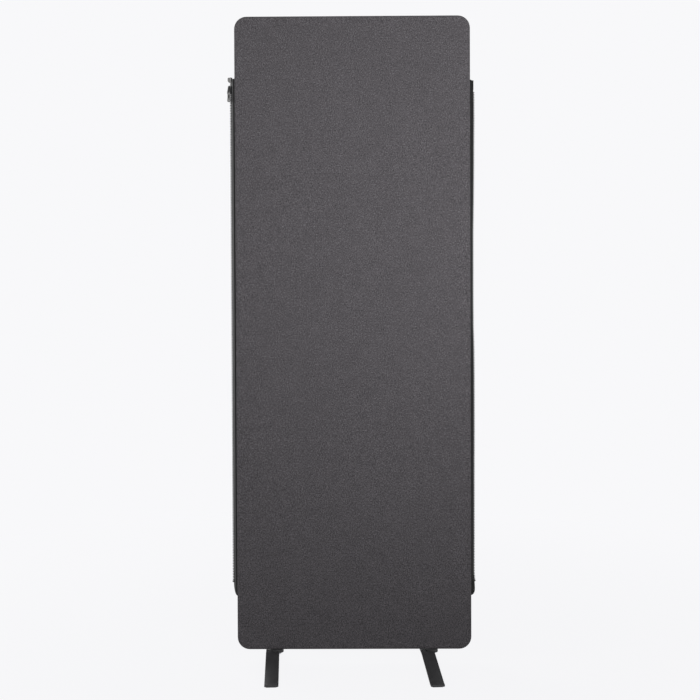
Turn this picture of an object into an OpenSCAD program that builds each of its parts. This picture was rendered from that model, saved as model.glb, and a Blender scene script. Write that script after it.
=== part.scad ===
// Free-standing acoustic divider screen: a felt-covered panel on two swivel feet, with half
// of a separating zip along each side edge to join it to its neighbours.
// Millimetres. +Z is up, the front faces -Y, and the origin is on the floor under the
// middle of the panel.

/* [Panel] */
// Width over the felt sides
panel_width = 609.6; // [570:0.1:900]
// Height from the underside to the top
panel_height = 1643; // [900:1:1900]
// Thickness over both felt faces
panel_thickness = 25.4; // [23:0.1:31]
// Radius of the four corners
corner_radius = 32; // [30:1:50]
// Rounding of the felt along the edges of each face
edge_round = 6; // [4:0.5:8]
// Thickness of the felt covers
felt = 2.7; // [2:0.1:3.5]
// Gap between the floor and the underside
floor_gap = 33.4; // [30:0.1:60]

/* [Frame] */
// Wall of the square steel tube
tube_wall = 1.5; // [1:0.1:2]
// Distance from the felt's outer edge to the tube
frame_inset = 5; // [4.5:0.1:7]
// Length of the corner spigots inside the tubes
spigot_length = 40; // [20:1:60]
// Height of the middle rail, as a share of the panel's height
middle_rail_place = 0.5; // [0.3:0.01:0.7]

/* [Zip] */
// Distance from the panel's top down to the top of the zip tapes
zip_head_margin = 156.7; // [60:0.1:250]
// Distance from the panel's underside up to the foot of the zip tapes
zip_foot_margin = 138.6; // [60:0.1:250]
// Angle at which the left tape leans back from the panel
left_lean = 30; // [0:1:45]
// Angle at which the right tape leans back from the panel
right_lean = 48; // [0:1:60]
// Thickness of the tape
tape_thickness = 0.9; // [0.6:0.1:1.2]
// Width of the tape outside the panel
tape_width = 11; // [8:0.1:14]
// Spacing of the teeth along one tape
tooth_pitch = 4.2; // [4:0.1:6]
// Thickness of the teeth through the tape
tooth_thickness = 3.4; // [2.6:0.1:3.4]
// Length of the teeth from the cord to their tips
tooth_length = 3.2; // [2.8:0.1:3.2]
// Length of the slider
slider_length = 22; // [21:0.5:26]
// Length of the pull from its hinge to its tip
pull_length = 35; // [32:0.5:45]

/* [Feet] */
// Distance of each foot's pivot from the panel's centre
hub_x = 201.6; // [201.6:0.1:225]
// Length of the foot bar on each side of its pivot
foot_reach = 198.4; // [150:0.2:199]
// Width of the foot bar
foot_width = 34.5; // [30:0.5:40]
// Thickness of the foot bar
foot_thickness = 4.5; // [4:0.5:6]
// Distance of the bar's centre line from the pivot
foot_offset = 12.3; // [8:0.1:14]
// Radius of the round ear about the pivot, and of the spacer above it
ear_radius = 16.25; // [14:0.25:20]
// Length of the flat toes at the ends of the bar
toe_length = 16; // [14:1:30]
// Angle at which the feet stand turned from square to the panel
foot_turn = 3.7; // [0:0.1:20]
// Thickness of the rubber pads under the toes
pad_thickness = 1.5; // [1:0.5:4]

/* [Hidden] */
$fn = 48;
left = -1;
right = 1;
front = -1;
rear = 1;
// Overlap that makes a cut pass clean through
through = 1;

// Panel and frame
panel_top = floor_gap + panel_height;
half_width = panel_width / 2;
half_height = panel_height / 2;
half_thickness = panel_thickness / 2;
tube = panel_thickness - 2 * felt;
bore = tube - 2 * tube_wall;
stile_out = half_width - frame_inset;
stile_in = stile_out - tube;
rail_out = half_height - frame_inset;
rail_in = rail_out - tube;
bend_out = corner_radius - frame_inset;
bend_in = bend_out - tube;
middle_rail_y = panel_height * (middle_rail_place - 0.5);
core_clearance = 0.5;
core_round = 1;
core_corner = bend_in + core_round;
plug_length = 25;
rail_screw_radius = 2.5;
rail_screw_length = 24;
rail_screw_head = [4.2, 2.8];
thread_clearance = 0.02;
access_radius = 5;
spigot_clearance = 0.1;
spigot = bore - 2 * spigot_clearance;

// Zip: distances out from the panel's side in the plane of the tape
cord_width = 0.9;
cord_u = tape_width + cord_width;
tip_u = cord_u + tooth_length;
tooth_head_place = 0.6;
tooth_head_u = cord_u + tooth_head_place * tooth_length;
tooth_neck = 1.3;
tooth_head = 2;
tooth_tip = 1.4;
tooth_overlap = 3;
chain_u = tip_u - tooth_overlap / 2;
tape_tuck = frame_inset - 0.1;
left_tail = 34;
right_tail = 14;
zip_bottom = floor_gap + zip_foot_margin;
zip_top = panel_top - zip_head_margin;
stop_height = 4.5;
stop_thickness = 4.2;
stop_overhang = 0.2;
stop_corner = 0.8;
teeth_bottom = zip_bottom + left_tail + stop_height;
box_bottom = zip_top - 9;
box_height = 12.5;
box_thickness = 5.4;
box_in = tape_width - 1.6;
box_out = tape_width + 9.8;
box_chamfer = 4;
box_corner = 1.6;
socket = [2.4, 2.3, 8];
socket_u = chain_u + 1.1;
socket_wall = 0.4;
slider_top = box_bottom - 8.5;
pin_play = 0.2;
pin_in = 2 * chain_u - socket_u - socket.x + pin_play;
pin_width = socket.x - 2 * pin_play;
pin_thickness = socket.y - 2 * pin_play;
pin_corner = 0.6;
pin_bottom = slider_top - 15;
pin_top = zip_top - 7;
tape_slant = 1;
tape_setback = 0.5;
left_tape_head = [
    [tape_width, box_bottom], [box_in, box_bottom], [box_in, zip_top - tape_setback - tape_slant],
    [tape_thickness, zip_top - tape_setback]];
right_tape_head = [
    [tape_width, pin_bottom], [pin_in, pin_bottom], [pin_in, pin_top - tape_slant],
    [tape_thickness, pin_top + tape_slant]];

// Slider: it stands turned so that its one filled channel follows the straight teeth
slider_clearance = 0.2;
slider_narrow = 4.6;
slider_wide = 6.9;
slider_nose = 3.8;
slider_tail = 3.5;
flange = 1.1;
nose_gap = 0.5;
tail_gap = 1;
slider_plate = 1.3;
channel_half = tooth_thickness / 2 + 0.3;
plate_out = channel_half + slider_plate;
tape_slit = tape_thickness / 2 + 0.2;
taper = (slider_wide - slider_narrow) / slider_length;
slider_turn = atan(taper);
wall_u = tape_width - slider_clearance;
slider_u = wall_u + (slider_narrow - flange) * cos(slider_turn);
wedge_clearance = 0.25;
wedge_foot = slider_length - 0.5;
wedge_half = (slider_narrow - flange + taper * wedge_foot) * cos(slider_turn)
    - (tip_u - wall_u) - wedge_clearance;
wedge_top = wedge_foot - wedge_half / sin(slider_turn) + 1;

// Pull and the crown it hangs from, with heights measured from the hinge
hinge_drop = 8;
hinge_z = slider_top - hinge_drop;
hinge_lift = 1.35;
hinge_v = plate_out + hinge_lift;
crown_middle = 2;
hinge_u = slider_u + (hinge_drop + crown_middle) * tan(slider_turn);
crown_width = 3;
crown_height = 4.4;
crown_wall = 1.6;
crown_top = 4.2;
crown_foot = -9;
crown_roof = [3.2, -6.5];
crown_hole_foot = [1.6, -6];
crown_hole_roof = [1.4, -4.6];
crown_corner = 1.8;
crown_hole_corner = 0.8;
pull_pin = 0.9;
pull_thickness = 1.6;
pull_half = 3.4;
pull_body_half = 4.5;
pull_ring_half = 5.2;
pull_shoulder = -8;
pull_waist = -14;
pull_flare = 12;
pull_ring = 7;
pull_bend = 6;
pull_corner = 4.5;
window_play = 0.4;
window_foot = -10.4;
window_corner = 0.6;
slot_half = 1.9;
slot_top = -15.5;
slot_margin = 9.4;
slot_corner = 1.5;
insert_thickness = 1.2;
pull_hole = 1.2;
pull_hole_margin = 3.2;

// Feet, from the panel's underside down
washer = 1;
hub_top = floor_gap - 3;
bar_top = hub_top - washer;
bar_bottom = bar_top - foot_thickness;
head_top = bar_bottom - washer;
head_height = 4.5;
head_radius = 9;
shoulder_radius = 5;
running_fit = 0.05;
bolt_radius = 4;
bolt_top = floor_gap + frame_inset + tube_wall + 10;
bolt_clearance = 0.25;
neck_radius = 7.5;
nut_across = 13;
nut_height = 8;
hub_flat = 24;
bend_radius = 10;
foot_corner = 4;
toe_edge = 1;
pad = [26, 12];
pad_corner = 2;
hex_across = 6;
hex_depth = 3;

// Unit vector along v
function unit(v) = v / norm(v);

// Smaller turn from angle a to angle b
function turn(a, b) = let (d = b - a) d > 180 ? d - 360 : d < -180 ? d + 360 : d;

// Arc of radius r that rounds the corner of an outline at one of its points
function corner(before, at, after, r, steps = 6) =
    let (
        back = unit(before - at),
        ahead = unit(after - at),
        half = acos(back * ahead) / 2,
        centre = at + unit(back + ahead) * r / sin(half),
        first = at + back * r / tan(half) - centre,
        last = at + ahead * r / tan(half) - centre,
        start = atan2(first.y, first.x),
        sweep = turn(start, atan2(last.y, last.x))
    )
    [for (i = [0 : steps])
        centre + r * [cos(start + sweep * i / steps), sin(start + sweep * i / steps)]];

// Outline through the points with each corner rounded by its radius, where 0 stays sharp
function rounded(points, radii) =
    let (n = len(points))
    [for (i = [0 : n - 1])
        each radii[i] == 0
            ? [points[i]]
            : corner(points[(i + n - 1) % n], points[i], points[(i + 1) % n], radii[i])];

// Rectangle with its four corners rounded alike
function rounded_box(low, high, r) =
    rounded([low, [high.x, low.y], high, [low.x, high.y]], [r, r, r, r]);

// Stands a piece drawn in the panel's plane, with its depth towards the front
module upright() {
    translate([0, 0, floor_gap + half_height]) rotate([90, 0, 0]) children();
}

// Sweeps a section round the panel's outline: its x runs inwards from the outline and its y
// is the depth
module around_panel() {
    run_x = half_width - corner_radius;
    run_y = half_height - corner_radius;
    for (side = [0 : 3]) {
        across = side % 2 == 0 ? run_x : run_y;
        along = side % 2 == 0 ? run_y : run_x;
        rotate(90 * side) {
            translate([across, along, 0]) rotate([90, 0, 0])
                linear_extrude(2 * along) translate([corner_radius, 0]) mirror([1, 0]) children();
            translate([across, along, 0])
                rotate_extrude(angle = 90) translate([corner_radius, 0]) mirror([1, 0]) children();
        }
    }
}

// Half section of a cover from its side seam to the corner's centre
module cover_section() {
    outer = rounded([[0, 0], [0, half_thickness], [corner_radius, half_thickness]],
        [0, edge_round, 0]);
    polygon(concat(outer, [
        [corner_radius, half_thickness - felt],
        [felt, half_thickness - felt],
        [felt, 0]]));
}

// One felt cover, with slots for the zip tapes and holes for the foot spacers
module cover() {
    difference() {
        union() {
            around_panel() cover_section();
            translate([corner_radius - half_width, corner_radius - half_height,
                    half_thickness - felt])
                cube([panel_width - 2 * corner_radius, panel_height - 2 * corner_radius, felt]);
        }
        for (side = [left, right]) {
            translate([side * (half_width - felt / 2), (zip_bottom + zip_top) / 2 - floor_gap
                    - half_height, 0])
                cube([felt + 2 * through, zip_top - zip_bottom, tape_thickness], center = true);
            translate([side * hub_x, felt + through - half_height, 0]) rotate([90, 0, 0])
                cylinder(r = neck_radius + bolt_clearance, h = felt + 2 * through);
        }
    }
}

module front_cover() {
    color("dimgray") upright() cover();
}

module rear_cover() {
    color("dimgray") upright() mirror([0, 0, 1]) cover();
}

// Acoustic core board that fills one bay of the frame
module core(bottom, top) {
    low = [core_clearance - stile_in, bottom + core_clearance];
    high = [stile_in - core_clearance, top - core_clearance];
    color("whitesmoke") upright() translate([0, 0, -tube / 2])
        linear_extrude(tube) polygon(rounded_box(low, high, core_corner));
}

// Square tube along X, centred
module square_tube(length) {
    difference() {
        cube([length, tube, tube], center = true);
        cube([length + 2 * through, bore, bore], center = true);
    }
}

module stile(side) {
    color("lightslategray") upright() difference() {
        translate([side * (stile_in + tube / 2), 0, 0]) rotate(90)
            square_tube(panel_height - 2 * corner_radius);
        translate([side * (stile_in - through), middle_rail_y, 0]) rotate([0, side * 90, 0]) {
            cylinder(r = rail_screw_radius + bolt_clearance, h = tube / 2);
            translate([0, 0, tube / 2]) cylinder(r = access_radius, h = tube);
        }
    }
}

// Top or bottom rail, where the bottom one is drilled for the pivot bolts
module outer_rail(place) {
    color("lightslategray") upright() difference() {
        translate([0, place * (rail_in + tube / 2), 0])
            square_tube(panel_width - 2 * corner_radius);
        if (place < 0)
            for (side = [left, right])
                translate([side * hub_x, through - rail_out + tube_wall, 0]) rotate([90, 0, 0])
                    cylinder(r = bolt_radius + bolt_clearance, h = tube_wall + 2 * through);
    }
}

module middle_rail() {
    color("lightslategray") upright() translate([0, middle_rail_y, 0])
        square_tube(2 * stile_in);
}

// Nylon plug in one end of the middle rail
module rail_plug(side) {
    color("gainsboro") upright() difference() {
        translate([side * (stile_in - plug_length / 2), middle_rail_y, 0])
            cube([plug_length, spigot, spigot], center = true);
        translate([side * (stile_in - plug_length - through), middle_rail_y, 0])
            rotate([0, side * 90, 0])
                cylinder(r = rail_screw_radius + thread_clearance, h = plug_length + 2 * through);
    }
}

// Pan-head screws inside the stiles that hold the middle rail's plugs
module middle_rail_screws() {
    color("silver") upright() for (side = [left, right])
        translate([side * (stile_in + tube_wall), middle_rail_y, 0]) rotate([0, side * 90, 0]) {
            cylinder(r = rail_screw_head.x, h = rail_screw_head.y);
            translate([0, 0, -rail_screw_length])
                cylinder(r = rail_screw_radius, h = rail_screw_length);
        }
}

// Moulded corner of the frame, with a spigot into each tube
module frame_corner(side, place) {
    centre = [half_width - corner_radius, half_height - corner_radius];
    reach = bend_in + tube / 2;
    color("gainsboro") upright() mirror([side < 0 ? 1 : 0, 0, 0])
        mirror([0, place < 0 ? 1 : 0, 0]) translate(centre) {
            rotate_extrude(angle = 90) translate([bend_in, -tube / 2]) square(tube);
            translate([reach, -spigot_length / 2, 0])
                cube([spigot, spigot_length, spigot], center = true);
            translate([-spigot_length / 2, reach, 0])
                cube([spigot_length, spigot, spigot], center = true);
        }
}

// Nut welded inside the bottom rail over each pivot bolt
module weld_nut(side) {
    color("silver") translate([side * hub_x, 0, floor_gap + frame_inset + tube_wall])
        difference() {
            cylinder(d = nut_across / cos(30), h = nut_height, $fn = 6);
            translate([0, 0, -through])
                cylinder(r = bolt_radius + thread_clearance, h = nut_height + 2 * through);
        }
}

// Frame of the loose tape on one side: x runs out from the panel along the tape, z is up,
// and y crosses the tape, to the front on the left and to the rear on the right
module on_tape(side) {
    translate([side * half_width, 0, 0]) rotate(side < 0 ? 180 - left_lean : right_lean) children();
}

// Plate between two depths across the tape, from a shape in the tape's plane
module across_tape(from, to) {
    translate([0, to, 0]) rotate([90, 0, 0]) linear_extrude(to - from) children();
}

// Woven tape: one strip held in the seam and one that leans free, whose foot curves home
module zip_tape(side, tail, head) {
    half = tape_thickness / 2;
    rise = tail - tape_setback;
    foot = [for (a = [0 : 15 : 90])
        [max(tape_thickness, tape_width * sin(a)), zip_bottom + tail - rise * cos(a)]];
    color([0.16, 0.16, 0.17]) {
        translate([side * half_width, 0, 0]) rotate(side < 0 ? 180 : 0)
            translate([-tape_tuck, -half, zip_bottom])
                cube([tape_tuck, tape_thickness, zip_top - zip_bottom]);
        difference() {
            on_tape(side) across_tape(-half, half)
                polygon(concat([[-tape_thickness, foot[0].y]], foot, head,
                    [[-tape_thickness, head[len(head) - 1].y]]));
            translate([-half_width, -half_thickness, floor_gap])
                cube([panel_width, panel_thickness, panel_height]);
        }
    }
}

// Moulded teeth along the tape's corded edge
module zip_teeth(side, top) {
    count = floor((top - teeth_bottom) / tooth_pitch);
    edge = [for (i = [0 : count - 1]) let (z = teeth_bottom + (i + 0.5) * tooth_pitch) each [
        [cord_u, z - tooth_neck / 2],
        [tooth_head_u, z - tooth_head / 2],
        [tip_u, z - tooth_tip / 2],
        [tip_u, z + tooth_tip / 2],
        [tooth_head_u, z + tooth_head / 2],
        [cord_u, z + tooth_neck / 2]]];
    color([0.2, 0.2, 0.21]) on_tape(side) across_tape(-tooth_thickness / 2, tooth_thickness / 2)
        polygon(concat([[tape_width, teeth_bottom], [cord_u, teeth_bottom]], edge,
            [[cord_u, top], [tape_width, top]]));
}

// Clip that stops the slider at the foot of the teeth
module zip_stop(side) {
    color("silver") on_tape(side) across_tape(-stop_thickness / 2, stop_thickness / 2)
        polygon(rounded_box([tape_width, teeth_bottom - stop_height],
            [tip_u + stop_overhang, teeth_bottom], stop_corner));
}

// Box at the head of the left teeth, with the socket that takes the neighbour's pin
module zip_retainer_box() {
    foot_out = socket_u + socket.x + socket_wall;
    top = box_bottom + box_height;
    outline = rounded([[box_in, box_bottom], [foot_out, box_bottom],
        [box_out, box_bottom + box_chamfer], [box_out, top], [box_in, top]],
        [box_corner / 2, box_corner / 4, box_corner / 2, box_corner, box_corner]);
    color("gray") on_tape(left) difference() {
        across_tape(-box_thickness / 2, box_thickness / 2) polygon(outline);
        translate([socket_u, -socket.y / 2, box_bottom - through])
            cube([socket.x, socket.y, socket.z + through]);
    }
}

// Pin at the head of the right teeth, which goes into the neighbour's box
module zip_insertion_pin() {
    color("silver") on_tape(right) across_tape(-pin_thickness / 2, pin_thickness / 2)
        polygon(rounded_box([pin_in, pin_bottom], [pin_in + pin_width, pin_top], pin_corner));
}

// Tapering outline between two distances from the slider's narrow end, moved in by a wall
function slider_outline(from, to, wall) =
    let (high = slider_narrow - wall + taper * from, low = slider_narrow - wall + taper * to)
    [[-high, -from], [high, -from], [low, -to], [-low, -to]];

// Slider: a tapering body cut by the channel for the teeth and the slit for the tapes, which
// leaves two plates, their flanges and the wedge between the channels, and a crown
module zip_slider() {
    wedge = [[0, -wedge_top], [wedge_half, -wedge_foot], [-wedge_half, -wedge_foot]];
    across = 2 * slider_wide;
    color([0.25, 0.25, 0.26]) on_tape(left) {
        translate([slider_u, 0, slider_top]) rotate([0, -slider_turn, 0]) difference() {
            across_tape(-plate_out, plate_out) polygon(rounded(
                slider_outline(0, slider_length, 0),
                [slider_nose, slider_nose, slider_tail, slider_tail]));
            across_tape(-channel_half, channel_half) difference() {
                union() {
                    polygon(slider_outline(-through, slider_length + through, flange));
                    translate([-across / 2, -nose_gap]) square([across, nose_gap + through]);
                    translate([-across / 2, -slider_length - through])
                        square([across, tail_gap + through]);
                }
                polygon(wedge);
            }
            across_tape(-tape_slit, tape_slit) difference() {
                polygon(slider_outline(-through, slider_length + through, -slider_wide));
                polygon(wedge);
            }
        }
        crown();
    }
}

// Arch on the slider's face that the pull hangs from
module crown() {
    foot = plate_out - slider_plate / 2;
    roof = plate_out + crown_height;
    outer = rounded([[foot, crown_top], [roof, crown_roof[0]], [roof, crown_roof[1]],
        [foot, crown_foot]], [0, crown_corner, crown_corner, 0]);
    inner = rounded([[plate_out, crown_hole_foot[0]], [roof - crown_wall, crown_hole_roof[0]],
        [roof - crown_wall, crown_hole_roof[1]], [plate_out, crown_hole_foot[1]]],
        [0, crown_hole_corner, crown_hole_corner, 0]);
    translate([hinge_u - crown_width / 2, 0, hinge_z]) rotate([90, 0, 90])
        linear_extrude(crown_width) difference() {
            polygon(outer);
            polygon(inner);
        }
}

// Frame of the pull about its hinge
module at_pull() {
    on_tape(left) translate([hinge_u, hinge_v, hinge_z]) children();
}

// Slot in the pull that holds its insert
module pull_slot() {
    polygon(rounded_box([-slot_half, slot_margin - pull_length], [slot_half, slot_top], slot_corner));
}

// Pull: a flat tab whose round cross pin turns under the crown
module zip_pull() {
    window_half = crown_width / 2 + window_play;
    edge = [[pull_half, 0], [pull_half, pull_shoulder], [pull_body_half, pull_waist],
        [pull_body_half, pull_flare - pull_length], [pull_ring_half, pull_ring - pull_length],
        [pull_ring_half, -pull_length]];
    radii = [0, pull_bend, pull_bend, pull_bend, pull_bend, pull_corner];
    last = len(edge) - 1;
    outline = concat(edge, [for (i = [last : -1 : 0]) [-edge[i].x, edge[i].y]]);
    corners = concat(radii, [for (i = [last : -1 : 0]) radii[i]]);
    color("darkgray") at_pull() {
        across_tape(-pull_thickness / 2, pull_thickness / 2) difference() {
            polygon(rounded(outline, corners));
            polygon(rounded_box([-window_half, window_foot], [window_half, through], window_corner));
            pull_slot();
            translate([0, pull_hole_margin - pull_length]) circle(r = pull_hole);
        }
        translate([-pull_half, 0, 0]) rotate([0, 90, 0])
            cylinder(r = pull_pin, h = 2 * pull_half);
    }
}

// Soft black insert pressed into the pull's slot
module zip_pull_insert() {
    color([0.06, 0.06, 0.06]) at_pull() across_tape(-insert_thickness / 2, insert_thickness / 2)
        pull_slot();
}

// Frame of one foot about its pivot, turned as it stands
module at_hub(side) {
    translate([side * hub_x, 0, 0]) rotate(foot_turn) children();
}

// Turned spacer between the panel and the foot, whose neck passes through the felt
module spacer(side) {
    height = floor_gap + frame_inset - hub_top;
    color([0.2, 0.2, 0.21]) translate([side * hub_x, 0, 0]) difference() {
        union() {
            translate([0, 0, hub_top]) cylinder(r = ear_radius, h = floor_gap - hub_top);
            translate([0, 0, hub_top]) cylinder(r = neck_radius, h = height);
        }
        translate([0, 0, hub_top - through])
            cylinder(r = bolt_radius + bolt_clearance, h = height + 2 * through);
    }
}

// Nylon washer against one face of the foot bar
module thrust_washer(side, z, r) {
    color([0.12, 0.12, 0.12]) translate([side * hub_x, 0, z]) difference() {
        cylinder(r = r, h = washer);
        translate([0, 0, -through])
            cylinder(r = shoulder_radius + running_fit, h = washer + 2 * through);
    }
}

// Shoulder bolt that the foot turns on, with a hexagon socket in its head
module pivot_bolt(side) {
    color("silver") translate([side * hub_x, 0, 0]) difference() {
        union() {
            translate([0, 0, head_top - head_height]) cylinder(r = head_radius, h = head_height);
            translate([0, 0, head_top]) cylinder(r = shoulder_radius, h = hub_top - head_top);
            translate([0, 0, hub_top]) cylinder(r = bolt_radius, h = bolt_top - hub_top);
        }
        translate([0, 0, head_top - head_height - through])
            cylinder(d = hex_across / cos(30), h = hex_depth + through, $fn = 6);
    }
}

// Steel strip, flat at the hub and at both toes, with straight arms between them
module foot_bar(side) {
    toe = foot_reach - toe_length;
    toe_top = pad_thickness + foot_thickness;
    outer_bend = bend_radius + foot_thickness;
    profile = rounded([
        [-foot_reach, toe_top], [-toe, toe_top], [-hub_flat, bar_top],
        [hub_flat, bar_top], [toe, toe_top], [foot_reach, toe_top],
        [foot_reach, pad_thickness], [toe, pad_thickness], [hub_flat, bar_bottom],
        [-hub_flat, bar_bottom], [-toe, pad_thickness], [-foot_reach, pad_thickness]],
        [toe_edge, bend_radius, outer_bend, outer_bend, bend_radius, toe_edge,
         0, outer_bend, bend_radius, bend_radius, outer_bend, 0]);
    color([0.2, 0.2, 0.21]) at_hub(side) difference() {
        intersection() {
            translate([-foot_offset - foot_width, 0, 0]) rotate([90, 0, 90])
                linear_extrude(2 * foot_width) polygon(profile);
            linear_extrude(bar_top + through) {
                polygon(rounded_box([-foot_offset - foot_width / 2, -foot_reach],
                    [-foot_offset + foot_width / 2, foot_reach], foot_corner));
                circle(r = ear_radius);
            }
        }
        translate([0, 0, bar_bottom - through])
            cylinder(r = shoulder_radius + running_fit, h = foot_thickness + 2 * through);
    }
}

// Rubber pad under one toe
module foot_pad(side, end) {
    centre = end * (foot_reach - toe_length / 2);
    color([0.1, 0.1, 0.1]) at_hub(side) linear_extrude(pad_thickness)
        polygon(rounded_box([-foot_offset - pad.x / 2, centre - pad.y / 2],
            [-foot_offset + pad.x / 2, centre + pad.y / 2], pad_corner));
}

front_cover();
rear_cover();
core(middle_rail_y + tube / 2, rail_in);  // upper_core
core(-rail_in, middle_rail_y - tube / 2);  // lower_core
stile(left);  // left_stile
stile(right);  // right_stile
outer_rail(1);  // top_rail
outer_rail(-1);  // bottom_rail
middle_rail();
rail_plug(left);  // left_rail_plug
rail_plug(right);  // right_rail_plug
middle_rail_screws();
frame_corner(left, 1);  // top_left_corner
frame_corner(right, 1);  // top_right_corner
frame_corner(left, -1);  // bottom_left_corner
frame_corner(right, -1);  // bottom_right_corner
weld_nut(left);  // left_weld_nut
weld_nut(right);  // right_weld_nut
zip_tape(left, left_tail, left_tape_head);  // left_zip_tape
zip_teeth(left, box_bottom);  // left_zip_teeth
zip_stop(left);  // left_zip_stop
zip_retainer_box();
zip_tape(right, right_tail, right_tape_head);  // right_zip_tape
zip_teeth(right, pin_bottom);  // right_zip_teeth
zip_stop(right);  // right_zip_stop
zip_insertion_pin();
zip_slider();
zip_pull();
zip_pull_insert();
spacer(left);  // left_spacer
thrust_washer(left, bar_top, ear_radius);  // left_upper_washer
thrust_washer(left, head_top, head_radius);  // left_lower_washer
pivot_bolt(left);  // left_pivot_bolt
foot_bar(left);  // left_foot_bar
foot_pad(left, front);  // left_front_pad
foot_pad(left, rear);  // left_rear_pad
spacer(right);  // right_spacer
thrust_washer(right, bar_top, ear_radius);  // right_upper_washer
thrust_washer(right, head_top, head_radius);  // right_lower_washer
pivot_bolt(right);  // right_pivot_bolt
foot_bar(right);  // right_foot_bar
foot_pad(right, front);  // right_front_pad
foot_pad(right, rear);  // right_rear_pad
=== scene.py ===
import math

import bmesh
import bpy
import numpy as np
from mathutils import Matrix, Vector, noise


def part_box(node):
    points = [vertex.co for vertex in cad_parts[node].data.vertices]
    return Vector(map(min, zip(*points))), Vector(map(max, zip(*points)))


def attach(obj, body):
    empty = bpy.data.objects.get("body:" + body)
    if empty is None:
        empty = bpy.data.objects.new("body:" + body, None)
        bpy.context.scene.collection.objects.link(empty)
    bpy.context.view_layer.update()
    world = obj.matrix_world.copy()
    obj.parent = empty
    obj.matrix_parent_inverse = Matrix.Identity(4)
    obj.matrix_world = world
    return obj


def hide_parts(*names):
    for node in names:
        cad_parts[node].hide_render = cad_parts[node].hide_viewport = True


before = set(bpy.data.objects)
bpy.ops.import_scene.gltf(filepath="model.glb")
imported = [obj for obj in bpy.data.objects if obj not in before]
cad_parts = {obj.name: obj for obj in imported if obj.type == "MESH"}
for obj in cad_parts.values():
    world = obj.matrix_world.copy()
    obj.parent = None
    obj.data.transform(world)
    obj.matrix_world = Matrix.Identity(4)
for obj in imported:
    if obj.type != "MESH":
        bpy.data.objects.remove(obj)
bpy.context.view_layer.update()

# Sizes in metres, as in the CAD model
HALF_WIDTH = 0.3048
PANEL_LOW = 0.0334
PANEL_TOP = 1.6764
HALF_DEPTH = 0.0127
CORNER = 0.032
EDGE_ROUND = 0.006
FELT = 0.0027
ZIP_LOW, ZIP_TOP = (corner.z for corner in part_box("left_zip_tape"))
TAPE_WIDTH = 0.011
TAPE_HALF = 0.0003
PITCH = 0.0042
TOOTH_HALF = 0.0017
LEFT, RIGHT = -1, 1
TAIL = {LEFT: 0.034, RIGHT: 0.014}
PANEL_MIDDLE = Vector((0, 0, (PANEL_LOW + PANEL_TOP) / 2))
HALF_HEIGHT = (PANEL_TOP - PANEL_LOW) / 2

# Cells of the felt across, up and round a corner
FELT_CELLS = (46, 132, 8)
# Half the width of the bend where a tape leaves the seam
TAPE_BEND = 0.001
# Radius of the cord along the tape's edge and its distance past the tape's width
CORD_RADIUS = 0.00072
CORD_OUT = 0.0004
# Distance of the stitches from the panel's side
STITCH_PLACE = 0.0032

# How far each tape leans back, in degrees, at heights up the panel. The left one is straight,
# because the slider runs down all of it and its passage is built for this one lean.
LEAN = {
    LEFT: ([0.0], [30.0]),
    RIGHT: ([0.19, 0.203, 0.212, 0.23, 0.354, 0.484, 0.615, 0.745, 0.82, 0.875, 0.95, 1.12, 1.2,
             1.266, 1.331, 1.42, 1.48],
            [26.0, 30.0, 40.0, 47.0, 45.0, 43.5, 40.0, 40.0, 43.0, 51.0, 52.5, 51.5, 45.0,
             41.0, 38.5, 34.5, 36.0]),
}
RIGHT_CAD_LEAN = 48
RIGHT_STOP_LEAN = 40
PIN_LEAN = 36

# Lamps: name, place, aim, size in metres and power in watts
LAMPS = [
    ("key", (0.66, -1.7, 0.88), (0.13, 0, 3.0), (0.7, 0.7), 34),
    ("side_strip", (-2.12, -0.8, 1.3), (-0.32, 0, 1.0), (0.5, 2.2), 12),
    ("rear_fill", (-1.6, 2.1, 1.9), (0, 0, 1.1), (1.4, 1.4), 34),
]
SURROUNDINGS = (0.939, 0.939, 0.955, 1)
FILL_STRENGTH = 0.3
FLOOR_RADIUS = 9


# Camera and lamps
def link(obj):
    bpy.context.scene.collection.objects.link(obj)
    return obj


def add_camera():
    """Camera fitted to the panel's corners, the feet and the pivots."""
    pan, tilt, roll = 0.00645, -0.0154, 0.00431
    place = (0.00813, -2.57932, 0.85315)
    data = bpy.data.cameras.new("camera")
    data.lens = 50.936
    data.sensor_width = 36
    camera = link(bpy.data.objects.new("camera", data))
    turn = (Matrix.Rotation(pan, 4, "Z") @ Matrix.Rotation(tilt, 4, "X")
            @ Matrix.Rotation(roll, 4, "Y") @ Matrix.Rotation(math.pi / 2, 4, "X"))
    camera.matrix_world = Matrix.Translation(place) @ turn
    bpy.context.scene.camera = camera


def add_lamp(name, at, towards, size, energy):
    data = bpy.data.lights.new(name, "AREA")
    data.shape = "RECTANGLE"
    data.size, data.size_y = size
    data.energy = energy
    lamp = link(bpy.data.objects.new(name, data))
    aim = Vector(towards) - Vector(at)
    lamp.matrix_world = Matrix.Translation(at) @ aim.to_track_quat("-Z", "Y").to_matrix().to_4x4()
    lamp.visible_camera = False


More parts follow.
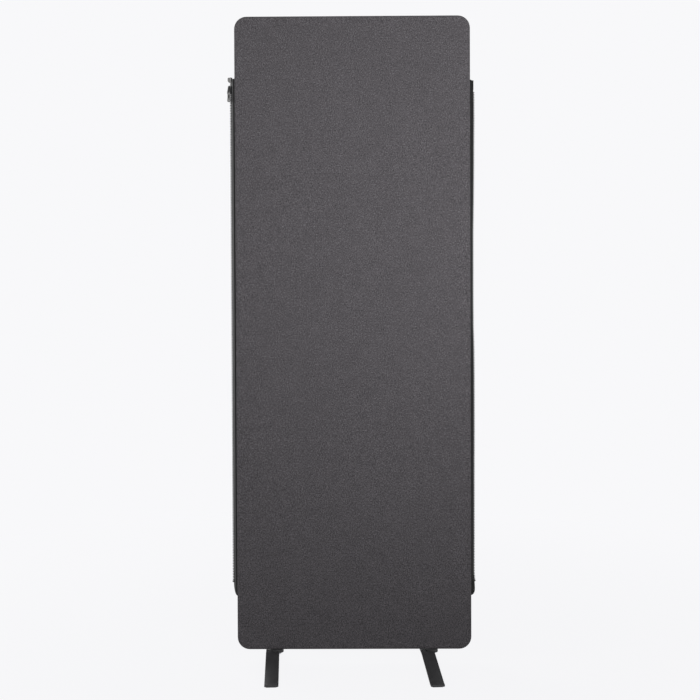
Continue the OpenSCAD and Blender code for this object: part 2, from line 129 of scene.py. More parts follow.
class Graph:
    """Node graph of one material, built round its Principled shader."""

    def __init__(self, name, **values):
        self.material = bpy.data.materials.new(name)
        self.material.use_nodes = True
        self.tree = self.material.node_tree
        self.shader = self.tree.nodes["Principled BSDF"]
        for key, value in values.items():
            self.set(key.replace("_", " "), value)
        self.place = self.node("TexCoord", "Object")

    def node(self, kind, out=0, inputs=None, **options):
        made = self.tree.nodes.new("ShaderNode" + kind)
        for key, value in options.items():
            setattr(made, key, value)
        for key, value in (inputs or {}).items():
            self.feed(made.inputs[key], value)
        return made.outputs[out]

    def feed(self, socket, value):
        if isinstance(value, bpy.types.NodeSocket):
            self.tree.links.new(value, socket)
        else:
            socket.default_value = value

    def set(self, key, value):
        self.feed(self.shader.inputs[key], value)

    def stretched(self, scale, turn=(0, 0, 0), shift=(0, 0, 0)):
        """Object coordinates turned by degrees first, and scaled and shifted after."""
        turned = self.node("Mapping", 0, {"Vector": self.place,
                                          "Rotation": [math.radians(a) for a in turn]})
        return self.node("Mapping", 0, {"Vector": turned, "Scale": scale, "Location": shift})

    def noise(self, scale, detail=2.0, rough=0.5, at=None):
        return self.node("TexNoise", 0, {"Vector": at or self.place, "Scale": scale,
                                         "Detail": detail, "Roughness": rough})

    def math(self, operation, a, b=0.0):
        return self.node("Math", 0, {0: a, 1: b}, operation=operation)

    def between(self, value, low, high, to_low=0.0, to_high=1.0):
        return self.node("MapRange", 0, {"Value": value, "From Min": low, "From Max": high,
                                         "To Min": to_low, "To Max": to_high},
                         interpolation_type="SMOOTHSTEP")

    def ramp(self, value, *stops):
        made = self.tree.nodes.new("ShaderNodeValToRGB")
        self.feed(made.inputs[0], value)
        band = made.color_ramp
        while len(band.elements) < len(stops):
            band.elements.new(0.5)
        for element, (place, colour) in zip(band.elements, stops):
            element.position = place
            element.color = (*colour, 1)
        return made.outputs[0]

    def mix(self, share, a, b, blend="MIX"):
        """Colours a and b mixed, each a socket or three values."""
        a, b = (c if isinstance(c, bpy.types.NodeSocket) else (*c, 1) for c in (a, b))
        return self.node("Mix", 2, {0: share, 6: a, 7: b}, data_type="RGBA", blend_type=blend)

    def bump(self, height, distance, strength, normal=None):
        inputs = {"Height": height, "Distance": distance, "Strength": strength}
        if normal is not None:
            inputs["Normal"] = normal
        return self.node("Bump", 0, inputs)

    def edges(self, radius):
        """1 along edges sharper than the radius, 0 on flat faces."""
        rounded = self.node("Bevel", 0, {"Radius": radius}, samples=6)
        true = self.node("NewGeometry", "Normal")
        return self.between(self.node("VectorMath", "Value", {0: rounded, 1: true},
                                      operation="DOT_PRODUCT"), 0.99, 0.86)


def felt_material():
    """Needle-punched grey felt: matted fibres in mixed greys, pressed flat."""
    g = Graph("charcoal_felt", Roughness=0.92, Specular_IOR_Level=0.15, Sheen_Weight=0.12,
              Sheen_Roughness=0.45)
    blotch = g.noise(42, 2.0)
    mottle = g.noise(400, 3.0, 0.62, g.stretched((1, 1, 0.7)))
    grain = g.noise(1000, 3.0, 0.7)
    tone = g.math("ADD", g.math("MULTIPLY", mottle, 0.7), g.math("MULTIPLY", grain, 0.3))
    colour = g.ramp(tone, (0.36, (0.022, 0.020, 0.022)), (0.46, (0.078, 0.073, 0.079)),
                    (0.54, (0.112, 0.105, 0.113)), (0.66, (0.225, 0.21, 0.227)))
    height = g.math("MULTIPLY", grain, 0.6)
    for index, turn in enumerate((8, 63, -52, 28, -17)):
        strand = g.noise(1, 1.0, 0.4, g.stretched((1500, 1500, 210), (0, turn, 0),
                                                  (3.1 * index, 1.7 * index, 0)))
        lit = g.between(strand, 0.6, 0.72)
        light = index % 2 == 0
        colour = g.mix(g.math("MULTIPLY", lit, 0.34 if light else 0.42), colour,
                       (0.235, 0.22, 0.238) if light else (0.026, 0.024, 0.027))
        height = g.math("MAXIMUM", height, g.math("MULTIPLY", lit, 0.85))
    shade = g.ramp(blotch, (0.3, (0.9, 0.9, 0.9)), (0.7, (1, 1, 1)))
    colour = g.mix(1.0, colour, shade, "MULTIPLY")
    g.set("Base Color", colour)
    g.set("Normal", g.bump(height, 0.00025, 0.7, g.bump(mottle, 0.0006, 0.35)))
    return g.material


def tape_material(name, shine_and_painted_light):
    """Black polyester tape woven in a herringbone, matt at the seam and shinier by its cord, where
    its colour holds painted light on the left tape and painted shade on the right.
    """
    twill_pitch, warp_pitch, fold_width = 0.0009, 0.0004, 0.0016
    g = Graph(name)
    parts = g.node("SeparateXYZ", 0, {0: g.place}).node
    out = g.math("SUBTRACT", g.math("ABSOLUTE", parts.outputs[0]), HALF_WIDTH)
    back = parts.outputs[1]
    across = g.math("SQRT", g.math("ADD", g.math("POWER", out, 2), g.math("POWER", back, 2)))
    fold = g.math("PINGPONG", across, fold_width)
    along = g.math("ADD", parts.outputs[2], fold)
    twill = g.math("SINE", g.math("MULTIPLY", along, 2 * math.pi / twill_pitch))
    warp = g.math("SINE", g.math("MULTIPLY", across, 2 * math.pi / warp_pitch))
    weave = g.between(g.math("ADD", twill, g.math("MULTIPLY", warp, 0.5)), -1.4, 1.4)
    fuzz = g.noise(1600, 3.0, 0.7)
    by_cord = g.between(across, 0.003, 0.0075)
    tone = g.math("ADD", g.math("MULTIPLY", weave, 0.7), g.math("MULTIPLY", fuzz, 0.3))
    matt = g.ramp(tone, (0.15, (0.004, 0.004, 0.004)), (0.9, (0.02, 0.02, 0.021)))
    # Painted light and shade: by the cord the same black tape is painted lighter on the lit left
    # tape and darker on the shaded right tape.
    bright = g.ramp(tone, (0.15, [0.016 * shine_and_painted_light] * 3), (0.9, [0.07 * shine_and_painted_light] * 3))
    g.set("Base Color", g.mix(by_cord, matt, bright))
    g.set("Specular IOR Level", g.between(by_cord, 0, 1, 0.12, shine_and_painted_light))
    g.set("Roughness", g.between(by_cord, 0, 1, 0.7, 0.4))
    g.set("Normal", g.bump(weave, 0.00008, 0.4, g.bump(fuzz, 0.00005, 0.4)))
    return g.material


def thread_material():
    """Black sewing thread with its twist."""
    g = Graph("sewing_thread", Roughness=0.6, Specular_IOR_Level=0.4, Sheen_Weight=0.2)
    twist = g.noise(1, 2.0, 0.5, g.stretched((2400, 2400, 5200), (35, 0, 0)))
    g.set("Base Color", g.ramp(twist, (0.3, (0.018, 0.018, 0.02)), (0.7, (0.07, 0.07, 0.074))))
    g.set("Normal", g.bump(twist, 0.00008, 0.8))
    return g.material


def teeth_material():
    """Moulded acetal, dark grey with a dull shine."""
    g = Graph("moulded_acetal", IOR=1.48, Specular_IOR_Level=0.5)
    cloud = g.noise(700, 3.0, 0.6)
    worn = g.edges(0.0003)
    base = g.ramp(cloud, (0.3, (0.018, 0.018, 0.019)), (0.7, (0.032, 0.032, 0.034)))
    g.set("Base Color", g.mix(g.math("MULTIPLY", worn, 0.4), base, (0.09, 0.09, 0.094)))
    g.set("Roughness", g.between(cloud, 0.3, 0.7, 0.22, 0.3))
    g.set("Normal", g.bump(g.noise(3200, 2.0), 0.00003, 0.6))
    return g.material


def metal_material(name, colour, bright, rough, grain=(900, 900, 90), metallic=1.0, wear=0.6):
    """Metal with fine directional grain, cloudy gloss and edges rubbed brighter."""
    g = Graph(name, Metallic=metallic)
    lines = g.noise(1, 4.0, 0.65, g.stretched(grain))
    cloud = g.noise(160, 3.0, 0.6)
    rubbed = g.math("MULTIPLY", g.edges(0.0005), g.between(cloud, 0.35, 0.6, wear * 0.4, wear))
    shade = g.mix(g.between(lines, 0.3, 0.7, 0.0, 0.35), colour, [c * 0.72 for c in colour])
    g.set("Base Color", g.mix(rubbed, shade, bright))
    g.set("Roughness", g.math("ADD", g.between(cloud, 0.3, 0.7, rough - 0.06, rough + 0.08),
                              g.math("MULTIPLY", lines, 0.08)))
    g.set("Normal", g.bump(lines, 0.00002, 0.5))
    return g.material


def coat_material():
    """Black powder coat with its fine orange-peel texture."""
    g = Graph("black_powder_coat", Specular_IOR_Level=0.5)
    peel = g.noise(1100, 2.0, 0.55)
    pores = g.noise(3600, 2.0, 0.6)
    cloud = g.noise(60, 3.0, 0.6)
    rubbed = g.math("MULTIPLY", g.edges(0.0008), g.between(cloud, 0.42, 0.62, 0.1, 0.5))
    base = g.ramp(g.math("ADD", g.math("MULTIPLY", peel, 0.5), g.math("MULTIPLY", cloud, 0.5)),
                  (0.3, (0.028, 0.028, 0.029)), (0.7, (0.044, 0.044, 0.046)))
    g.set("Base Color", g.mix(rubbed, base, (0.12, 0.12, 0.125)))
    g.set("Roughness", g.between(cloud, 0.3, 0.7, 0.5, 0.62))
    g.set("Normal", g.bump(g.math("ADD", peel, g.math("MULTIPLY", pores, 0.3)), 0.00006, 0.7))
    return g.material


def speckled_material(name, low, high, scale, depth, roughness, **values):
    """Moulded or fibrous material with cloudy colour and a fine uneven surface."""
    g = Graph(name, **values)
    cloud = g.noise(scale / 12, 3.0, 0.6)
    fine = g.noise(scale, 3.0, 0.65)
    tone = g.math("ADD", g.math("MULTIPLY", cloud, 0.5), g.math("MULTIPLY", fine, 0.5))
    g.set("Base Color", g.ramp(tone, (0.3, low), (0.7, high)))
    g.set("Roughness", g.between(fine, 0.3, 0.7, roughness - 0.05, roughness + 0.05))
    g.set("Normal", g.bump(fine, depth, 0.7))
    return g.material


# Looks
FELT_LOOK = felt_material()
# One black tape in two copies: the left painted lighter by its cord as if lit from the left, the
# right painted darker by its cord as if in shade.
TAPE_LOOKS = {LEFT: tape_material("satin_tape_with_painted_light", 0.6),
              RIGHT: tape_material("matt_tape_with_painted_shade", 0.2)}
THREAD_LOOK = thread_material()
TEETH_LOOK = teeth_material()
NICKEL_LOOK = metal_material("dark_satin_nickel", (0.12, 0.119, 0.117), (0.3, 0.297, 0.29), 0.4)
SLIDER_LOOK = metal_material("black_enamel", (0.014, 0.014, 0.015), (0.09, 0.09, 0.093), 0.44,
                             metallic=0.0, wear=0.4)
ZINC_LOOK = metal_material("zinc_plate", (0.55, 0.56, 0.60), (0.72, 0.73, 0.76), 0.36,
                           (300, 300, 300))
COAT_LOOK = coat_material()
NYLON_LOOK = speckled_material("moulded_nylon", (0.62, 0.61, 0.57), (0.74, 0.73, 0.69), 1400,
                               0.00003, 0.45)
WASHER_LOOK = speckled_material("black_nylon", (0.012, 0.012, 0.012), (0.028, 0.028, 0.029), 1400,
                                0.00003, 0.5)
VINYL_LOOK = speckled_material("soft_black_vinyl", (0.008, 0.008, 0.008), (0.017, 0.017, 0.017),
                               1600, 0.00005, 0.6, Specular_IOR_Level=0.2)
RUBBER_LOOK = speckled_material("black_rubber", (0.014, 0.014, 0.014), (0.03, 0.03, 0.03), 1800,
                                0.00008, 0.85)
BATT_LOOK = speckled_material("fibre_batt", (0.5, 0.5, 0.49), (0.74, 0.74, 0.72), 700, 0.0006, 0.95,
                              Sheen_Weight=0.2)
STEEL_LOOK = speckled_material("primed_steel", (0.16, 0.17, 0.18), (0.24, 0.25, 0.26), 900,
                               0.00004, 0.5)

# CAD nodes that show as they are, under the felt
NODE_LOOKS = {
    BATT_LOOK: ["upper_core", "lower_core"],
    STEEL_LOOK: ["left_stile", "right_stile", "top_rail", "bottom_rail", "middle_rail"],
    NYLON_LOOK: ["left_rail_plug", "right_rail_plug", "top_left_corner", "top_right_corner",
                 "bottom_left_corner", "bottom_right_corner"],
    ZINC_LOOK: ["middle_rail_screws", "left_weld_nut", "right_weld_nut"],
}


# Mesh helpers
def make_piece(name, points, faces, look, body, replaces=()):
    mesh = bpy.data.meshes.new(name)
    mesh.from_pydata([tuple(p) for p in points], [], faces)
    mesh.validate()
    return finish_piece(link(bpy.data.objects.new(name, mesh)), look, body, replaces)


def finish_piece(obj, look, body, replaces):
    """Gives a piece its look and body, and hides the CAD nodes that it stands for."""
    crease = 38
    build = bmesh.new()
    build.from_mesh(obj.data)
    bmesh.ops.recalc_face_normals(build, faces=build.faces)
    build.to_mesh(obj.data)
    build.free()
    obj.data.materials.clear()
    obj.data.materials.append(look)
    obj.data.polygons.foreach_set("use_smooth", [True] * len(obj.data.polygons))
    obj.data.set_sharp_from_angle(angle=math.radians(crease))
    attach(obj, body)
    if replaces:
        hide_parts(*replaces)
    return obj


def loft(rings, first=0):
    """Faces that join closed rings of equal length, with a cap on each end."""
    n = len(rings[0])
    faces = [tuple(first + k for k in range(n))[::-1]]
    for i in range(len(rings) - 1):
        a, b = first + i * n, first + (i + 1) * n
        faces += [(a + k, a + (k + 1) % n, b + (k + 1) % n, b + k) for k in range(n)]
    faces.append(tuple(first + (len(rings) - 1) * n + k for k in range(n)))
    return faces


def copied_mesh(node):
    """The CAD node's mesh in a new bmesh, with its flat faces made whole again."""
    build = bmesh.new()
    build.from_mesh(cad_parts[node].data)
    bmesh.ops.remove_doubles(build, verts=build.verts, dist=1e-6)
    bmesh.ops.dissolve_limit(build, angle_limit=math.radians(1), verts=build.verts,
                             edges=build.edges)
    return build


def eased(node, name, look, body, width):
    """Copy of a machined or bent CAD part with its sharp edges broken."""
    sharp_angle = 40
    build = copied_mesh(node)
    sharp = [e for e in build.edges
             if len(e.link_faces) == 2 and e.calc_face_angle() > math.radians(sharp_angle)]
    bmesh.ops.bevel(build, geom=sharp, offset=width, segments=2, profile=0.5,
                    affect="EDGES", clamp_overlap=False)
    mesh = bpy.data.meshes.new(name)
    build.to_mesh(mesh)
    build.free()
    finish_piece(link(bpy.data.objects.new(name, mesh)), look, body, [node])


def cast(node, name, look, body, voxel, rounds, lean=None):
    """Copy of a small die-cast CAD part with its edges melted round.

    A lean turns a part of the right tape from the CAD's lean to the draped tape's.
    """
    build = copied_mesh(node)
    if lean is not None:
        bmesh.ops.rotate(build, cent=(HALF_WIDTH, 0, 0), verts=build.verts,
                         matrix=Matrix.Rotation(math.radians(lean - RIGHT_CAD_LEAN), 3, "Z"))
    mesh = bpy.data.meshes.new(name)
    build.to_mesh(mesh)
    build.free()
    obj = link(bpy.data.objects.new(name, mesh))
    remesh = obj.modifiers.new("even", "REMESH")
    remesh.mode = "VOXEL"
    remesh.voxel_size = voxel
    soften = obj.modifiers.new("soften", "SMOOTH")
    soften.factor = 0.5
    soften.iterations = rounds
    thin = obj.modifiers.new("thin", "DECIMATE")
    thin.ratio = 0.35
    evaluated = obj.evaluated_get(bpy.context.evaluated_depsgraph_get())
    result = bpy.data.meshes.new_from_object(evaluated)
    obj.modifiers.clear()
    obj.data = result
    result.name = name
    finish_piece(obj, look, body, [node])


# Felt covers
def outline_ring(inset, cells_x, cells_z, cells_arc):
    """Points (x, z) round the panel's outline moved in by an inset, from the lower left."""
    run_x, run_z = HALF_WIDTH - CORNER, HALF_HEIGHT - CORNER
    r = max(CORNER - inset, 0)
    corners = [(run_x, -run_z, -90), (run_x, run_z, 0), (-run_x, run_z, 90), (-run_x, -run_z, 180)]
    points, marks = [], []
    for index, (x, z, start) in enumerate(corners):
        ends = [(-run_x, -run_z), (run_x, -run_z), (run_x, run_z), (-run_x, run_z)]
        (x0, z0), (x1, z1) = ends[index], ends[(index + 1) % 4]
        nx, nz = math.cos(math.radians(start)), math.sin(math.radians(start))
        cells = cells_x if index % 2 == 0 else cells_z
        for k in range(cells + 1):
            t = k / cells
            points.append((x0 + (x1 - x0) * t + nx * r, z0 + (z1 - z0) * t + nz * r))
            marks.append((index, k))
        for k in range(1, cells_arc):
            a = math.radians(start + 90 * k / cells_arc)
            points.append((x + math.cos(a) * r, z + math.sin(a) * r))
            marks.append((index, cells))
    return points, marks


def unevenness(x, z, side):
    """Faint waves of the felt over the batt, and its slight roll inside the edges."""
    broad_height, local_height, roll_height = 0.0003, 0.00008, 0.00035
    roll_place, roll_width = 0.0105, 0.006
    edge, fade = 0.005, 0.02
    broad = noise.noise(Vector((x * 6.5, side * 3.7, z * 5))) * broad_height
    local = noise.noise(Vector((x * 23, side * 9.1, z * 19))) * local_height
    inside = min(HALF_WIDTH - abs(x), HALF_HEIGHT - abs(z))
    roll = roll_height * math.exp(-((inside - roll_place) / roll_width) ** 2)
    return (broad + local) * min(1, max(0, inside - edge) / fade) + roll


def zip_share(x, z):
    """1 where a zip tape comes out of the seam, 0 away from it."""
    margin, fade = 0.004, 0.012
    height = z + PANEL_MIDDLE.z
    if abs(x) < HALF_WIDTH - CORNER / 2:
        return 0
    return min(1, max(0, min(height - ZIP_LOW + margin, ZIP_TOP + margin - height) / fade))


def cover(side, name, node):
    """One felt cover, side -1 for the front: outer skin, lip at the seam and inner skin."""
    cells = FELT_CELLS
    closed_gap, tape_gap, seam_depth = 0.00004, 0.00043, 0.001
    points, faces = [], []

    def skin(profile, flip):
        """Adds a skin through (inset, depth, share of waves) and returns its rim."""
        rings = []
        for inset, depth, waves in profile:
            ring, marks = outline_ring(inset, *cells)
            start = len(points)
            for x, z in ring:
                lip = closed_gap + tape_gap * zip_share(x, z)
                y = max(depth, lip) if depth < seam_depth else depth
                y += waves * unevenness(x, z, side)
                points.append((x, side * y, z + PANEL_MIDDLE.z))
            rings.append(list(range(start, start + len(ring))))
        run_x, run_z = HALF_WIDTH - CORNER, HALF_HEIGHT - CORNER
        start = len(points)
        for j in range(cells[1] + 1):
            for i in range(cells[0] + 1):
                x = run_x * (2 * i / cells[0] - 1)
                z = run_z * (2 * j / cells[1] - 1)
                points.append((x, side * (profile[-1][1] + profile[-1][2] * unevenness(x, z, side)),
                               z + PANEL_MIDDLE.z))

        def at(i, j):
            return start + j * (cells[0] + 1) + i

        border = []
        for edge, k in marks:
            border.append([at(k, 0), at(cells[0], k), at(cells[0] - k, cells[1]),
                           at(0, cells[1] - k)][edge])
        rings.append(border)
        made = []
        for a, b in zip(rings, rings[1:]):
            n = len(a)
            for k in range(n):
                quad = [a[k], a[(k + 1) % n], b[(k + 1) % n], b[k]]
                made.append(tuple(dict.fromkeys(quad)))
        made += [(at(i, j), at(i + 1, j), at(i + 1, j + 1), at(i, j + 1))
                 for j in range(cells[1]) for i in range(cells[0])]
        faces.extend(f[::-1] if flip else f for f in made if len(f) > 2)
        return rings[0]

    arc = [math.radians(15 * k) for k in range(7)]
    outer = [(0.0009, 0.0, 0), (0.00035, 0.00025, 0), (0.00008, 0.0007, 0), (0.0, 0.0014, 0),
             (-0.00012, 0.0035, 0)]
    outer += [(EDGE_ROUND * (1 - math.cos(a)), HALF_DEPTH - EDGE_ROUND * (1 - math.sin(a)),
               math.sin(a) ** 4) for a in arc]
    outer += [(d, HALF_DEPTH, 1) for d in (0.008, 0.0105, 0.0135, 0.018, 0.024)]
    deep = HALF_DEPTH - FELT
    inner = [(FELT, 0.0, 0), (FELT, 0.004, 0), (FELT, deep - 0.0015, 0),
             (FELT + 0.0015, deep - 0.0001, 0.5), (0.012, deep - 0.0001, 0.9)]
    seam_out = skin(outer, side > 0)
    seam_in = skin(inner, side < 0)
    n = len(seam_out)
    for k in range(n):
        rim = (seam_in[k], seam_in[(k + 1) % n], seam_out[(k + 1) % n], seam_out[k])
        faces.append(rim[::-1] if side > 0 else rim)
    obj = make_piece(name, points, faces, FELT_LOOK, "panel", [node])


# Zip tapes and teeth
def lean_at(side, z):
    """Angle at which a tape leans back at a height."""
    heights, angles = LEAN[side]
    return math.radians(float(np.interp(z, heights, angles)))


def on_tape(side, u, v, z):
    """Point u out from the panel's side along the tape and v in front of its middle."""
    lean = lean_at(side, z)
    bend = TAPE_BEND
    if u <= -bend:
        out, back, turn = u, 0.0, 0.0
    elif u < bend:
        turn = lean * (u + bend) / (2 * bend)
        out = -bend + (2 * bend / lean) * math.sin(turn)
        back = (2 * bend / lean) * (1 - math.cos(turn))
    else:
        out, back, turn = u * math.cos(lean), u * math.sin(lean), lean
    return (side * (HALF_WIDTH + out + v * math.sin(turn)), back - v * math.cos(turn), z)


def tape_reach(side, z):
    """Share of the tape's width at a height, which curves home at its foot."""
    rise = min(max((z - ZIP_LOW) / TAIL[side], 0.0), 1.0)
    return math.sqrt(1 - (1 - rise) ** 2)


def tape_section(edge, bead=TAPE_HALF):
    """Outline (u, v) of the tape's cross section, rounded about its edge or its cord."""
    flats = [-0.0024, -0.001, -0.0005, 0.0, 0.0005, 0.001, 0.003, 0.0055, 0.0083]
    under = [(min(u, edge - 0.0005), -TAPE_HALF) for u in flats]
    start = math.asin(min(1, TAPE_HALF / bead))
    sweep = [math.pi - start - (2 * math.pi - 2 * start) * k / 9 for k in range(10)]
    round_edge = [(edge + bead * math.cos(a), -bead * math.sin(a)) for a in sweep]
    return under + round_edge + [(u, -v) for u, v in reversed(under)]


def zip_tape(side, name, node, teeth_top, head_width, top, slant):
    """Tape with its corded edge up to the top of the teeth and a bare, slanting head."""
    step, least_step, shoulder = 0.004, 0.002, 0.0001
    heights = [ZIP_LOW + TAIL[side] * (1 - math.cos(math.radians(a))) for a in range(3, 90, 6)]
    z = ZIP_LOW + TAIL[side]
    while z < teeth_top - least_step:
        heights.append(z)
        z += step
    heights.append(teeth_top)
    rings = []
    for h in heights:
        corded = tape_section(TAPE_WIDTH * tape_reach(side, h) + CORD_OUT, CORD_RADIUS)
        rings.append([on_tape(side, u, v, h) for u, v in corded])
    head = tape_section(head_width - TAPE_HALF)
    rings.append([on_tape(side, u, v, teeth_top + shoulder) for u, v in head])
    rings.append([on_tape(side, u, v, top - slant * max(u, 0) / head_width) for u, v in head])
    make_piece(name, [p for ring in rings for p in ring], loft(rings), TAPE_LOOKS[side],
               "panel", [node])


def zip_teeth(side, name, node, high):
    """Moulded teeth gripping the cord, each with legs, waist, broad head and narrow tip."""
    # Distance from the tape's width, half height and half thickness, from legs to tip
    stations = [(0, 0.0011, 0.00118), (0.0003, 0.00135, 0.0014), (0.001, 0.0013, 0.0015),
                (0.0015, 0.00068, 0.0016), (0.002, 0.001, TOOTH_HALF), (0.0025, 0.0014, TOOTH_HALF),
                (0.0033, 0.00136, TOOTH_HALF), (0.0038, 0.0011, 0.00158), (0.0041, 0.00085, 0.0013)]
    # Rounded section of a tooth, as shares of its half height and half thickness
    shape = [(1, 0.55), (0.72, 0.92), (-0.72, 0.92), (-1, 0.55), (-1, -0.55), (-0.72, -0.92),
             (0.72, -0.92), (1, -0.55)]
    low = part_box(node)[0].z
    points, faces = [], []
    for index in range(int((high - low) / PITCH + 1e-6)):
        z = low + (index + 0.5) * PITCH
        rings = [[on_tape(side, TAPE_WIDTH + u, half_v * b, z + half_z * a) for a, b in shape]
                 for u, half_z, half_v in stations]
        faces += loft(rings, len(points))
        points += [p for ring in rings for p in ring]
    make_piece(name, points, faces, TEETH_LOOK, "panel", [node])


def box_neck(low, high):
    """Rounded sleeve under the retainer box that clasps the left tape's corded edge."""
    outline = [(0.0102, 0.0012), (0.0108, 0.0018), (0.0134, 0.0018), (0.0141, 0.0012),
               (0.0141, -0.0012), (0.0134, -0.0018), (0.0108, -0.0018), (0.0102, -0.0012)]
    middle = 0.01215
    rings = []
    for z, size in ((low, 0.82), (low + 0.0004, 1.0), (high - 0.0012, 1.0), (high, 1.16)):
        rings.append([on_tape(LEFT, middle + (u - middle) * size, v * size, z)
                      for u, v in outline])
    make_piece("retainer_neck", [p for ring in rings for p in ring], loft(rings), NICKEL_LOOK,
               "panel")


def stitches(side, name, u, top):
    """Lockstitches that hold the tape in the panel's seam, on both of its faces."""
    points, faces = [], []
    length, step, radius, first = 0.0024, 0.0031, 0.00019, 0.012
    end_size, end_lift, middle_lift = 0.45, 0.00002, 0.00012
    z = ZIP_LOW + first
    while z < top - step:
        for face in (1, -1):
            rings = []
            for t in (-1, -0.7, 0, 0.7, 1):
                at_end = abs(t) == 1
                size = radius * (end_size if at_end else 1)
                v = face * (TAPE_HALF + (end_lift if at_end else middle_lift))
                rings.append([on_tape(side, u + size * math.cos(a), v + size * math.sin(a),
                                      z + length / 2 * t) for a in np.arange(6) * math.pi / 3])
            faces += loft(rings, len(points))
            points += [p for ring in rings for p in ring]
        z += step
    make_piece(name, points, faces, THREAD_LOOK, "panel")


# Stage: a pale floor that keeps a soft shadow and otherwise meets the pale surroundings
def seen_ray(tree):
    """1 for camera, glossy and transmission rays, which show the pale surroundings."""
    nodes, links = tree.nodes, tree.links
    path = nodes.new("ShaderNodeLightPath")
    seen = nodes.new("ShaderNodeMath")
    seen.operation = "ADD"
    links.new(path.outputs["Is Camera Ray"], seen.inputs[0])
    more = nodes.new("ShaderNodeMath")
    more.operation = "ADD"
    more.use_clamp = True
    links.new(path.outputs["Is Glossy Ray"], seen.inputs[1])
    links.new(seen.outputs[0], more.inputs[0])
    links.new(path.outputs["Is Transmission Ray"], more.inputs[1])
    return more.outputs[0]


def add_world():
    """Pale surroundings for the camera, over a weaker white fill that lights the object."""
    world = bpy.data.worlds.new("studio")
    bpy.context.scene.world = world
    world.use_nodes = True
    tree = world.node_tree
    tree.nodes.clear()
    seen = seen_ray(tree)
    white = tree.nodes.new("ShaderNodeBackground")
    white.inputs[0].default_value = SURROUNDINGS
    fill = tree.nodes.new("ShaderNodeBackground")
    fill.inputs[0].default_value = (1, 1, 1, 1)
    fill.inputs[1].default_value = FILL_STRENGTH
    mix = tree.nodes.new("ShaderNodeMixShader")
    out = tree.nodes.new("ShaderNodeOutputWorld")
    tree.links.new(seen, mix.inputs[0])
    tree.links.new(fill.outputs[0], mix.inputs[1])
    tree.links.new(white.outputs[0], mix.inputs[2])
    tree.links.new(mix.outputs[0], out.inputs[0])


def add_floor():
    """Wide floor that takes the shadow near the object and fades to the surroundings."""
    mesh = bpy.data.meshes.new("studio_floor")
    build = bmesh.new()
    bmesh.ops.create_circle(build, cap_ends=True, segments=96, radius=FLOOR_RADIUS)
    build.to_mesh(mesh)
    build.free()
    floor = link(bpy.data.objects.new("studio_floor", mesh))
    look = bpy.data.materials.new("pale_floor")
    look.use_nodes = True
    tree = look.node_tree
    tree.nodes.clear()
    seen = seen_ray(tree)
    place = tree.nodes.new("ShaderNodeTexCoord")
    gap = tree.nodes.new("ShaderNodeVectorMath")
    gap.operation = "LENGTH"
    tree.links.new(place.outputs["Object"], gap.inputs[0])
    near = tree.nodes.new("ShaderNodeMapRange")
    near.interpolation_type = "SMOOTHSTEP"
    for key, value in (("From Min", 0.4), ("From Max", 2.2), ("To Min", 0.05), ("To Max", 0.0)):
        near.inputs[key].default_value = value
    tree.links.new(gap.outputs["Value"], near.inputs["Value"])
    glow = tree.nodes.new("ShaderNodeEmission")
    glow.inputs[0].default_value = SURROUNDINGS
    matt = tree.nodes.new("ShaderNodeBsdfDiffuse")
    matt.inputs[0].default_value = (0.94, 0.94, 0.95, 1)
    dull = tree.nodes.new("ShaderNodeBsdfDiffuse")
    dull.inputs[0].default_value = (0.3, 0.3, 0.3, 1)
    shown = tree.nodes.new("ShaderNodeMixShader")
    tree.links.new(near.outputs[0], shown.inputs[0])
    tree.links.new(glow.outputs[0], shown.inputs[1])
    tree.links.new(matt.outputs[0], shown.inputs[2])
    both = tree.nodes.new("ShaderNodeMixShader")
    tree.links.new(seen, both.inputs[0])
    tree.links.new(dull.outputs[0], both.inputs[1])
    tree.links.new(shown.outputs[0], both.inputs[2])
    out = tree.nodes.new("ShaderNodeOutputMaterial")
    tree.links.new(both.outputs[0], out.inputs[0])
    mesh.materials.append(look)


# The scene
add_camera()
add_world()
add_floor()
for lamp in LAMPS:
    add_lamp(*lamp)
bpy.context.scene.view_settings.view_transform = "Standard"

for look, names in NODE_LOOKS.items():
    for name in names:
        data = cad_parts[name].data
        data.materials.clear()
        data.materials.append(look)

cover(-1, "front_felt", "front_cover")
cover(1, "rear_felt", "rear_cover")

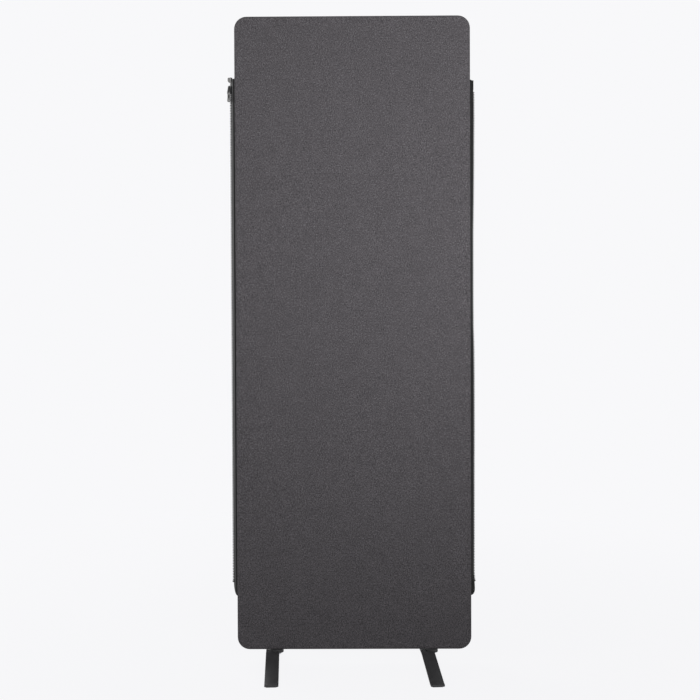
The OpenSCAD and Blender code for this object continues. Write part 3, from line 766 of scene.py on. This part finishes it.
box_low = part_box("zip_retainer_box")[0].z
pin_low, pin_high = (corner.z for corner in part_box("zip_insertion_pin"))
slider_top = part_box("zip_slider")[1].z
zip_tape(LEFT, "left_woven_tape", "left_zip_tape", teeth_top=box_low, head_width=0.0094,
         top=ZIP_TOP, slant=0.001)
zip_tape(RIGHT, "right_woven_tape", "right_zip_tape", teeth_top=pin_low, head_width=0.0103,
         top=pin_high + 0.001, slant=0.002)
zip_teeth(LEFT, "left_moulded_teeth", "left_zip_teeth", slider_top)
zip_teeth(RIGHT, "right_moulded_teeth", "right_zip_teeth", pin_low)
box_neck(low=slider_top + 0.0004, high=box_low + 0.0006)
stitches(LEFT, "left_tape_stitching", STITCH_PLACE, top=ZIP_TOP - 0.006)
stitches(RIGHT, "right_tape_stitching", STITCH_PLACE, top=pin_high - 0.004)

cast("zip_slider", "slider_body", SLIDER_LOOK, "zip_slider", 0.00014, 6)
cast("zip_pull", "slider_pull", NICKEL_LOOK, "zip_pull", 0.00014, 5)
cast("zip_pull_insert", "pull_insert", VINYL_LOOK, "zip_pull", 0.00012, 3)
cast("zip_retainer_box", "retainer_box", NICKEL_LOOK, "panel", 0.00014, 5)
cast("left_zip_stop", "left_stop_clip", NICKEL_LOOK, "panel", 0.00012, 4)
cast("right_zip_stop", "right_stop_clip", NICKEL_LOOK, "panel", 0.00012, 4,
     RIGHT_STOP_LEAN)
cast("zip_insertion_pin", "insertion_pin", SLIDER_LOOK, "panel", 0.00012, 4,
     PIN_LEAN)

for side in ("left", "right"):
    foot = side + "_foot"
    eased(side + "_foot_bar", side + "_steel_foot", COAT_LOOK, foot, 0.0006)
    eased(side + "_spacer", side + "_turned_spacer", COAT_LOOK, "panel", 0.0006)
    eased(side + "_pivot_bolt", side + "_shoulder_bolt", ZINC_LOOK, "panel", 0.0005)
    eased(side + "_upper_washer", side + "_upper_thrust_washer", WASHER_LOOK, "panel",
          0.0002)
    eased(side + "_lower_washer", side + "_lower_thrust_washer", WASHER_LOOK, "panel",
          0.0002)
    for end in ("front", "rear"):
        eased(f"{side}_{end}_pad", f"{side}_{end}_rubber_pad", RUBBER_LOOK, foot,
              0.0004)
